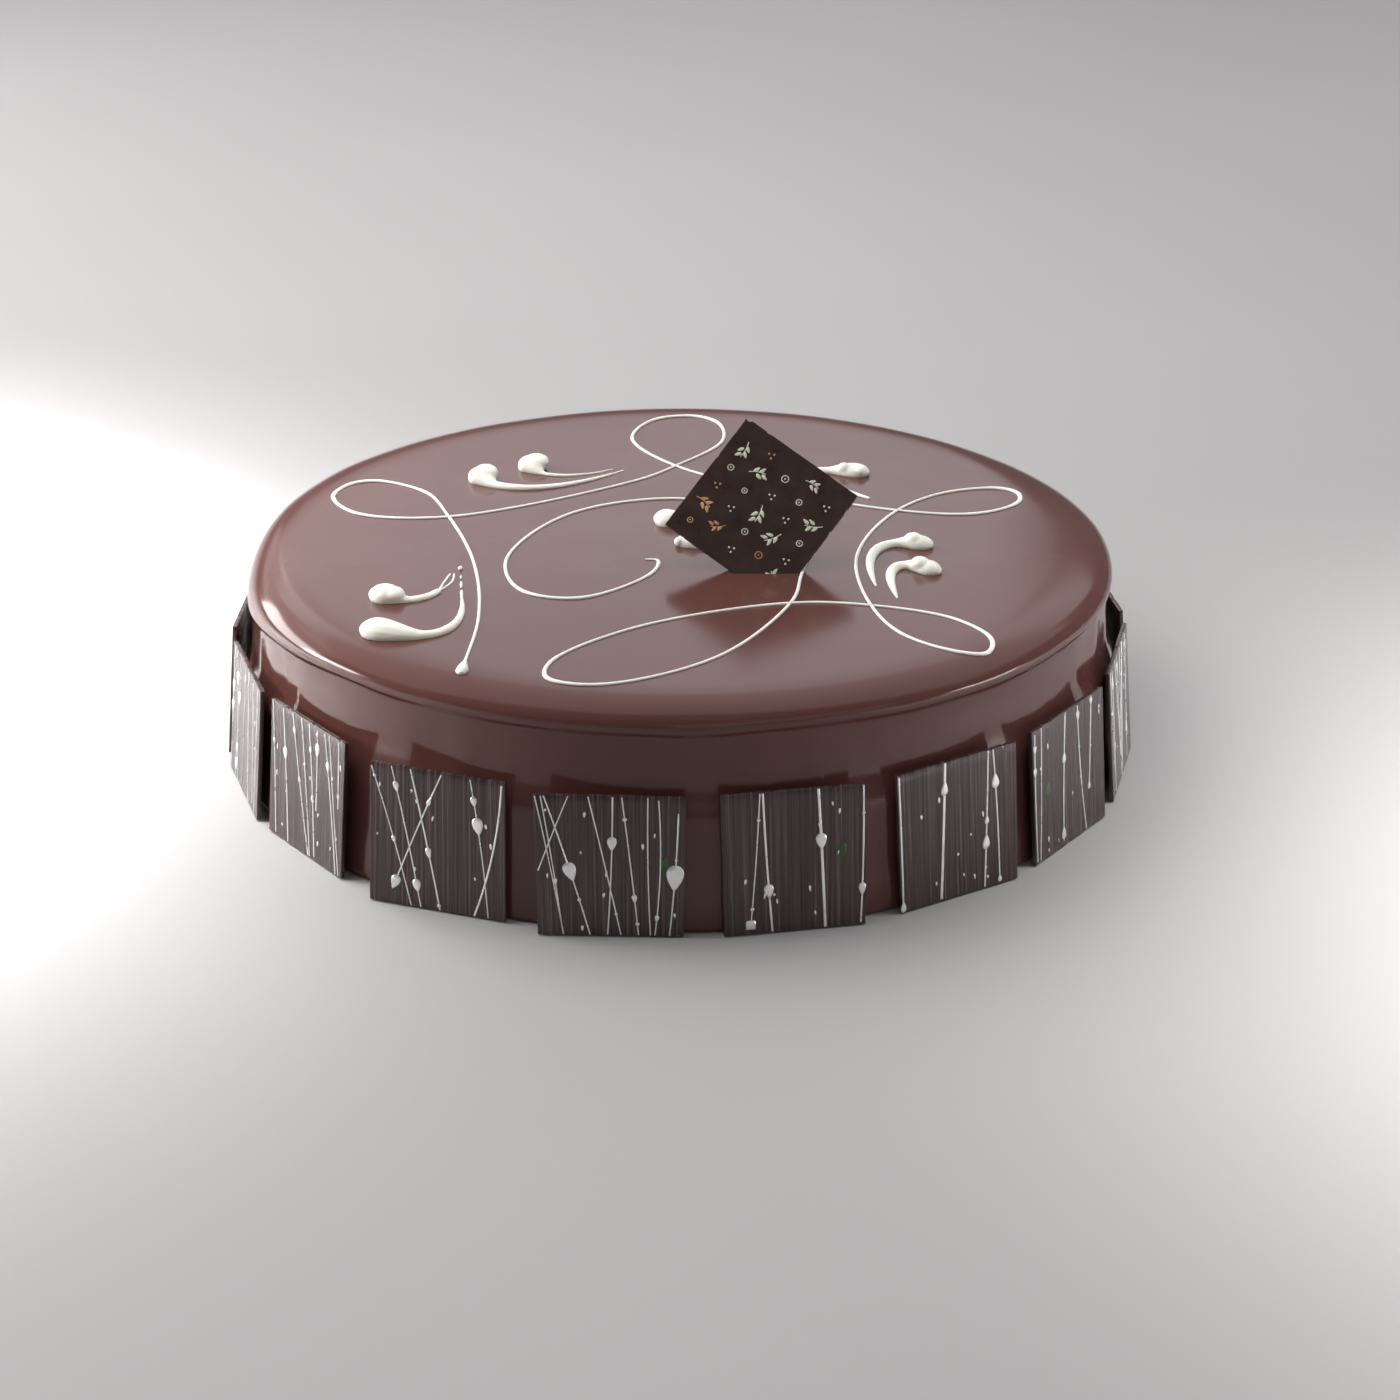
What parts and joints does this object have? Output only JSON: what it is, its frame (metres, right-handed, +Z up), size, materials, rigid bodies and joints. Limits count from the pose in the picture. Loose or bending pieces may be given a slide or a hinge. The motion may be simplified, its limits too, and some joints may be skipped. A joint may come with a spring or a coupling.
{
  "type": "chocolate mousse cake",
  "caption": "Round glazed mousse cake with a piped scroll and comma drops on top, a square chocolate plaque set on a corner, and thin chocolate panels standing round the side.",
  "frame": {"origin": "Centre of the flat base that the cake rests on.", "axes": "+Z up, +X to the right and -Y towards the front, the side that the plaque faces."},
  "size_m": [0.2545, 0.2531, 0.0959],
  "materials": {
    "glaze": "mirror-gloss chocolate glaze",
    "white_chocolate": "satin white chocolate",
    "panel_chocolate": "glossy tempered dark chocolate",
    "plaque_chocolate": "semi-gloss tempered dark chocolate",
    "pearl_print": "pearl-white cocoa butter print"
  },
  "bodies": {
    "root": {"cake": "glaze", "plaque": "plaque_chocolate", "drop_left_1": "white_chocolate", "drop_left_2": "white_chocolate", "drop_back_left_1": "white_chocolate", "drop_back_left_2": "white_chocolate", "drop_back_right_1": "white_chocolate", "drop_back_right_2": "white_chocolate", "drop_right_1": "white_chocolate", "drop_right_2": "white_chocolate", "drop_middle_1": "white_chocolate", "drop_middle_2": "white_chocolate", "panel_01": "panel_chocolate", "panel_02": "panel_chocolate", "panel_03": "panel_chocolate", "panel_04": "panel_chocolate", "panel_05": "panel_chocolate", "panel_06": "panel_chocolate", "panel_07": "panel_chocolate", "panel_08": "panel_chocolate", "panel_09": "panel_chocolate", "panel_10": "panel_chocolate", "panel_11": "panel_chocolate", "panel_12": "panel_chocolate", "panel_13": "panel_chocolate", "panel_14": "panel_chocolate", "panel_15": "panel_chocolate", "panel_16": "panel_chocolate", "panel_17": "panel_chocolate"}
  },
  "joints": []
}
